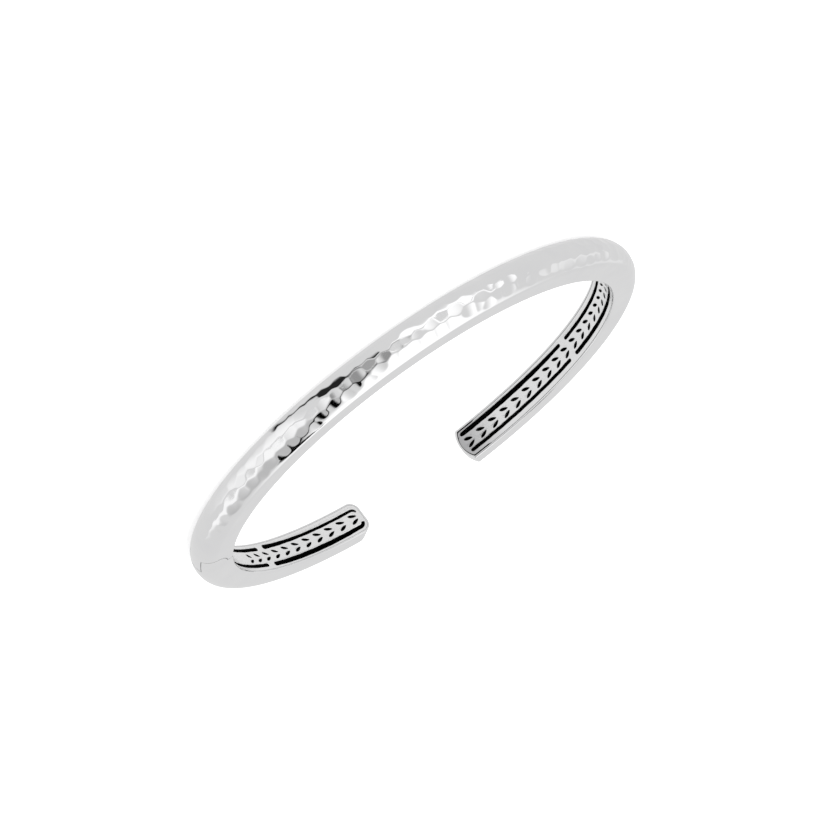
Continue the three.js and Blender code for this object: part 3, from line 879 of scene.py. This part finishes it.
class Finish:
    """A material built node by node."""

    def __init__(self, name):
        self.material = bpy.data.materials.new(name)
        self.material.use_nodes = True
        self.tree = self.material.node_tree
        self.tree.nodes.clear()

    def node(self, kind, settings, inputs, output=0):
        """Adds a node. Settings are its own properties, set first; inputs are numbers, colours or Values by
        socket name or number; the result is one of its outputs as a Value."""
        made = self.tree.nodes.new(kind)
        for key, setting in settings.items():
            setattr(made, key, setting)
        for key, given in inputs.items():
            if isinstance(given, Value):
                self.tree.links.new(given.socket, made.inputs[key])
            else:
                made.inputs[key].default_value = given
        return Value(self, made.outputs[output])

    def noise(self, size, detail=2.0, roughness=0.5, stretch=(1, 1, 1)):
        """Soft random values from 0 to 1, in blotches about size metres across."""
        place_on = self.node("ShaderNodeTexCoord", {}, {}, "Object")
        turned = self.node("ShaderNodeMapping", {}, {"Vector": place_on, "Scale": stretch})
        return self.node("ShaderNodeTexNoise", {}, {
            "Vector": turned, "Scale": 1 / size, "Detail": detail, "Roughness": roughness
        })

    def grey(self, value, dark, light):
        """A colour between two, mixed by a value from 0 to 1. Each is three numbers, or a Value."""
        dark, light = (end if isinstance(end, Value) else (*end, 1) for end in (dark, light))
        return self.node("ShaderNodeMix", {"data_type": "RGBA"}, {0: value, 6: dark, 7: light}, output=2)

    def bump(self, height, depth, under=None):
        """A surface normal raised by a height from 0 to 1, where 1 is depth metres high. It is raised from
        the plain surface, or from another bump under it."""
        inputs = {"Strength": 1.0, "Distance": depth, "Height": height}
        if under is not None:
            inputs["Normal"] = under
        return self.node("ShaderNodeBump", {}, inputs)

    def metal(self, color, roughness, normal=None, metallic=1.0, specular=0.5):
        """Ends the material in a metal surface."""
        inputs = {
            "Base Color": color, "Roughness": roughness, "Metallic": metallic, "Specular IOR Level": specular
        }
        if normal is not None:
            inputs["Normal"] = normal
        surface = self.node("ShaderNodeBsdfPrincipled", {}, inputs)
        self.node_output(surface)
        return self.material

    def node_output(self, surface):
        """Joins a shader to the material's output."""
        end = self.tree.nodes.new("ShaderNodeOutputMaterial")
        self.tree.links.new(surface.socket, end.inputs["Surface"])


# %% [markdown]
# Polished silver is a mirror that has been handled: it has hair-fine scratches, faint clouds where it was
# wiped, and now and then a tiny dent. The gallery is a little less polished, since no wheel reaches it well.
# The walls of its openings are blackened silver, and so is the hollow behind them.


# %% Silver finishes
def polished_silver():
    """Bright silver: base colour and roughness drift in clouds of 4 mm, scratches and dents in the normal."""
    f = Finish("mirror_silver")
    cloud = f.noise(0.004, detail=3.0)
    scratch = f.noise(0.00025, detail=4.0, roughness=0.65, stretch=(1, 1, 7))
    dent = f.noise(0.0009, detail=1.0)
    roughness = 0.025 + cloud * 0.035 + scratch * 0.02
    color = f.grey(cloud, (0.80, 0.80, 0.81), (0.87, 0.87, 0.87))
    return f.metal(color, roughness, f.bump(dent, 0.000004, under=f.bump(scratch, 0.0000012)))


def gallery_silver():
    """Satin silver of the plate, with a faint grain and duller patches. The mesh's own "dulled" attribute is
    1 at the front tip and falls to 0 over DULL_SHADE_REACH: there the plate is rougher, and its colour is
    darkened towards grey as painted shade."""
    f = Finish("satin_gallery")
    cloud = f.noise(0.0022, detail=3.0)
    grain = f.noise(0.00016, detail=3.0, roughness=0.6)
    dull_shade = f.node("ShaderNodeAttribute", {"attribute_name": "dull_and_shaded"}, {}, "Fac")
    roughness = 0.14 + cloud * 0.1 + grain * 0.05 + dull_shade * 0.1
    color = f.grey(cloud, (0.86, 0.86, 0.865), (0.96, 0.96, 0.96))
    # Painted shade: the colour is darkened towards grey near the front tip.
    dull_and_shaded = f.grey(dull_shade * 0.8, color, (0.42, 0.42, 0.43))
    return f.metal(dull_and_shaded, roughness, f.bump(grain, 0.000004))


def blackened_silver():
    """Oxidised silver in the openings, the seats and the hollow: nearly black and matt, with a grey bloom."""
    f = Finish("blackened_silver")
    bloom = f.noise(0.0009, detail=4.0)
    color = f.grey(bloom ** 2.0, (0.003, 0.003, 0.003), (0.02, 0.02, 0.021))
    return f.metal(color, 0.6 + bloom * 0.2, f.bump(bloom, 0.00002), metallic=0.0, specular=0.0)


def filed_silver():
    """The faces inside the hinge and the pin: silver as the file leaves it."""
    f = Finish("filed_silver")
    file_marks = f.noise(0.0002, detail=3.0, stretch=(1, 1, 5))
    color = f.grey(file_marks, (0.42, 0.42, 0.43), (0.62, 0.62, 0.62))
    return f.metal(color, 0.28 + file_marks * 0.15, f.bump(file_marks, 0.000006))


POLISHED, GALLERY = polished_silver(), gallery_silver()
BLACKENED, FILED = blackened_silver(), filed_silver()
print("finishes:", ", ".join(m.name for m in (POLISHED, GALLERY, BLACKENED, FILED)))


# %% [markdown]
# ## Putting the cuff together
#
# The finished pieces take the place of the CAD shells and plates and ride on the same bodies. The hinge pin
# is the CAD's own, with a finish of its own.

# %% The pieces
def shell(name, skin_mesh, tip, way):
    """A shell: its polished skin, with the seat, the hollow, the hinge and the bore cut out of it."""
    skin_mesh.materials.append(POLISHED)
    cutters = [seat_cutter(tip, way), hollow_cutter(tip, way), *hinge_cutters(way < 0), bore_cutter()]
    return cut(show(name, skin_mesh), cutters)


front_shell = shell("hammered_band", front_skin, FRONT_TIP_S, -1)
arm_shell = shell("plain_arm", arm_skin, ARM_TIP_REACH, 1)

for plate in (front_gallery, arm_gallery):
    plate.data.materials.append(GALLERY)
    plate.data.materials.append(BLACKENED)
for piece in (front_shell, arm_shell, front_gallery, arm_gallery):
    piece.data.shade_smooth()
    piece.data.set_sharp_from_angle(angle=np.radians(50))

for piece, node, body, slot_name in (
    (front_shell, "front_band_shell", "front_band", "polished_silver"),
    (front_gallery, "front_band_gallery", "front_band", "gallery_silver"),
    (arm_shell, "hinged_arm_shell", "hinged_arm", "polished_silver"),
    (arm_gallery, "hinged_arm_gallery", "hinged_arm", "gallery_silver"),
):
    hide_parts(node)
    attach(piece, body)
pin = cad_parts["hinge_pin"]
pin.data.materials.clear()
pin.data.materials.append(FILED)

# %% [markdown]
# ## Floor, light and camera
#
# The studio is a white sweep with even light from all round, which is what makes polished silver look light
# grey instead of black. A mirror shows only what stands round it, so its streaks are painted there: a tent of
# glowing cloth and the floor are lighter and darker in strokes, and only reflections see them. One soft lamp
# lights the floor.

# %% Painting with light
def painted_level(points, base, strokes):
    """A brightness at each point: the base, painted over by strokes. A stroke is a chain of points, a width
    and a soft edge in the points' own unit, and a level. Its share is 1 within the width of the chain, and
    falls smoothly to 0 over the soft edge."""
    level = np.full(len(points), base)
    for chain, wide, soft, to in strokes:
        chain = np.array(chain, float)
        start, leg = chain[:-1], np.diff(chain, axis=0)
        off = points[:, None, :] - start
        along = np.clip((off * leg).sum(-1) / (leg**2).sum(-1), 0, 1)
        gap = np.linalg.norm(off - along[..., None] * leg, axis=-1).min(1)
        share = np.clip((wide + soft - gap) / soft, 0, 1)
        level += (to - level) * share * share * (3 - 2 * share)
    return level


def grid_mesh(name, points):
    """A mesh of four-sided faces on a grid of (rows, columns, 3) points."""
    rows, columns = points.shape[:2]
    i = np.arange(rows * columns).reshape(rows, columns)
    faces = np.stack([i[:-1, :-1], i[:-1, 1:], i[1:, 1:], i[1:, :-1]], -1).reshape(-1, 4)
    return new_mesh(name, points.reshape(-1, 3), [faces])


STUDIO_LEVEL = 0.78
THROUGH = 0.42

# %% Floor
FLOOR_STROKES = [
    ([[22, -26.3], [28, -22.8], [31.8, -18.5]], 1.6, 2.2, 1.1),
    ([[38, -20], [43, -34]], 4.0, 8.0, 1.0),
    ([[-9, -33.4], [2, -34.2]], 1.5, 1.5, 1.25),
    ([[-7, -42], [-33, -60]], 5.0, 6.0, 1.3),
    ([[10, -46], [11, -66]], 6.0, 7.0, 0.42),
    ([[20.7, -22.6], [17.2, -25.9], [14, -28], [11.5, -29.7], [6.5, -31.6]], 0.25, 0.25, 0.0),
    ([[14.5, -28.5], [11.0, -34.0]], 1.3, 0.6, 0.02),
]


def floor_mesh(reach=4000.0, near=90.0, step=0.4, below=0.01):
    """A square of floor, a hair below the cuff, whose grid is fine near the cuff and has one wide cell round
    it. Reflections of the floor see its painted glow."""
    lines = np.concatenate([[-reach], np.arange(-near, near + step / 2, step), [reach]])
    x, y = np.meshgrid(lines, lines, indexing="ij")
    flat = np.stack([x, y], -1).reshape(-1, 2)
    near_band = (np.abs(flat) < near - 1).all(1)
    level = np.full(len(flat), STUDIO_LEVEL)
    level[near_band] = painted_level(flat[near_band] - oval_centre[:2], STUDIO_LEVEL, FLOOR_STROKES)
    mesh = grid_mesh("floor", np.stack([x, y, np.full(x.shape, -below)], -1) * MM)
    keep(mesh, "glow", level)
    return mesh


def glowing(f):
    """A black surface that gives off the brightness kept in its mesh, and isn't sampled as a lamp."""
    glow = f.node("ShaderNodeAttribute", {"attribute_name": "glow"}, {}, "Color")
    f.material.cycles.emission_sampling = "NONE"
    return f.node("ShaderNodeBsdfPrincipled", {}, {
        "Base Color": (0, 0, 0, 1), "Specular IOR Level": 0, "Emission Color": glow, "Emission Strength": 1
    })


def floor_finish():
    """Matt white with light shining through it. Reflections see its painted glow instead."""
    f = Finish("white_sweep")
    matt = f.node("ShaderNodeBsdfPrincipled", {}, {
        "Base Color": (0.93, 0.93, 0.93, 1), "Roughness": 0.9, "Specular IOR Level": 0,
        "Emission Color": (1, 1, 1, 1), "Emission Strength": THROUGH,
    })
    mirrored_ray = f.node("ShaderNodeLightPath", {}, {}, "Is Glossy Ray")
    f.node_output(f.node("ShaderNodeMixShader", {}, {0: mirrored_ray, 1: matt, 2: glowing(f)}))
    return f.material


floor = show("floor", floor_mesh())
floor.data.materials.append(floor_finish())

# %% Light tent
TENT_STROKES = [
    ([[-8, 25], [-12, -30]], 8, 20, 1.3),
    ([[-62, -68], [-42, -82], [-22, -96]], 4, 20, 1.25),
    ([[88, 25], [98, -30], [75, -78]], 12, 26, 1.12),
    ([[-60, -4], [-72, 24]], 2, 12, 0.93),
    ([[-44, 36], [-50, 52]], 2, 10, 0.88),
    ([[38, 15], [42, -12], [34, -48]], 3, 22, 0.58),
    ([[60, 22], [80, 14]], 1.5, 8, 1.1),
    ([[16, -66], [20, -95]], 8, 12, 0.34),
    ([[5, 27], [18, 13], [27, -8], [27, -30]], 2.6, 2.0, 0.0),
    ([[27, -30], [26, -44], [17, -64]], 4.0, 2.5, 0.0),
]


def tent_mesh(radius=1.2):
    """A dome of cloth over the cuff: points radius * (cos el * sin az, cos el * cos az, sin el). It is
    painted on a flat map of the sky, where the distance from the middle is the angle from the zenith."""
    around, height = np.meshgrid(np.radians(np.arange(0, 361, 1.5)), np.radians(np.arange(-1, 90.1, 1.0)))
    way = np.stack([np.cos(height) * np.sin(around), np.cos(height) * np.cos(around), np.sin(height)], -1)
    sky = np.degrees(np.pi / 2 - height)[..., None] * np.stack([np.sin(around), np.cos(around)], -1)
    mesh = grid_mesh("light_tent", way * radius)
    keep(mesh, "glow", painted_level(sky.reshape(-1, 2), STUDIO_LEVEL, TENT_STROKES))
    return mesh


def tent_finish():
    """Glowing cloth."""
    f = Finish("tent_cloth")
    f.node_output(glowing(f))
    return f.material


tent = show("light_tent", tent_mesh())
tent.data.materials.append(tent_finish())
tent.visible_camera = tent.visible_diffuse = tent.visible_shadow = tent.visible_transmission = False

# %% Light
world = bpy.data.worlds.new("studio")
bpy.context.scene.world = world
world.use_nodes = True
background = world.node_tree.nodes["Background"].inputs
background["Color"].default_value = (1, 1, 1, 1)
background["Strength"].default_value = STUDIO_LEVEL


def lamp(name, spot, size, watts):
    """A square soft lamp that faces the cuff. It lights the floor, and reflections don't see it."""
    data = bpy.data.lights.new(name, "AREA")
    data.shape, data.size, data.energy = "SQUARE", size, watts
    thing = bpy.data.objects.new(name, data)
    thing.location = spot
    thing.rotation_euler = Vector(spot).to_track_quat("Z", "Y").to_euler()
    thing.visible_glossy = False
    bpy.context.scene.collection.objects.link(thing)


lamp("overhead", spot=(-0.3, -0.3, 1.6), size=1.5, watts=20)

# %% Camera
# Angles are in radians. The distance from the oval's middle and the two shifts off it are in millimetres.
AZIMUTH, ELEVATION, ROLL = 0.23610, 0.28246, 2.48708
DISTANCE, SIDE, RISE = 805.30, 0.38509, -0.34484
SENSOR_WIDTH, LENS = 36.0, 282.5252
back = np.array([
    np.sin(AZIMUTH) * np.cos(ELEVATION), -np.cos(AZIMUTH) * np.cos(ELEVATION), np.sin(ELEVATION)
])
level = np.array([np.cos(AZIMUTH), np.sin(AZIMUTH), 0])
rise = np.cross(back, level)
right = np.cos(ROLL) * level + np.sin(ROLL) * rise
up = np.cos(ROLL) * rise - np.sin(ROLL) * level
spot = (DISTANCE * back - SIDE * right - RISE * up + oval_centre) * MM
camera = bpy.data.objects.new("camera", bpy.data.cameras.new("camera"))
camera.data.sensor_width = SENSOR_WIDTH
camera.data.lens = LENS
camera.data.clip_start, camera.data.clip_end = 0.01, 20
camera.matrix_world = Matrix(np.vstack([np.column_stack([right, up, back, spot]), [0, 0, 0, 1]]).tolist())
bpy.context.scene.collection.objects.link(camera)
bpy.context.scene.camera = camera
bpy.context.scene.view_settings.view_transform = "Standard"
print("camera at", spot.round(3), "with a lens of", round(camera.data.lens, 1), "mm")
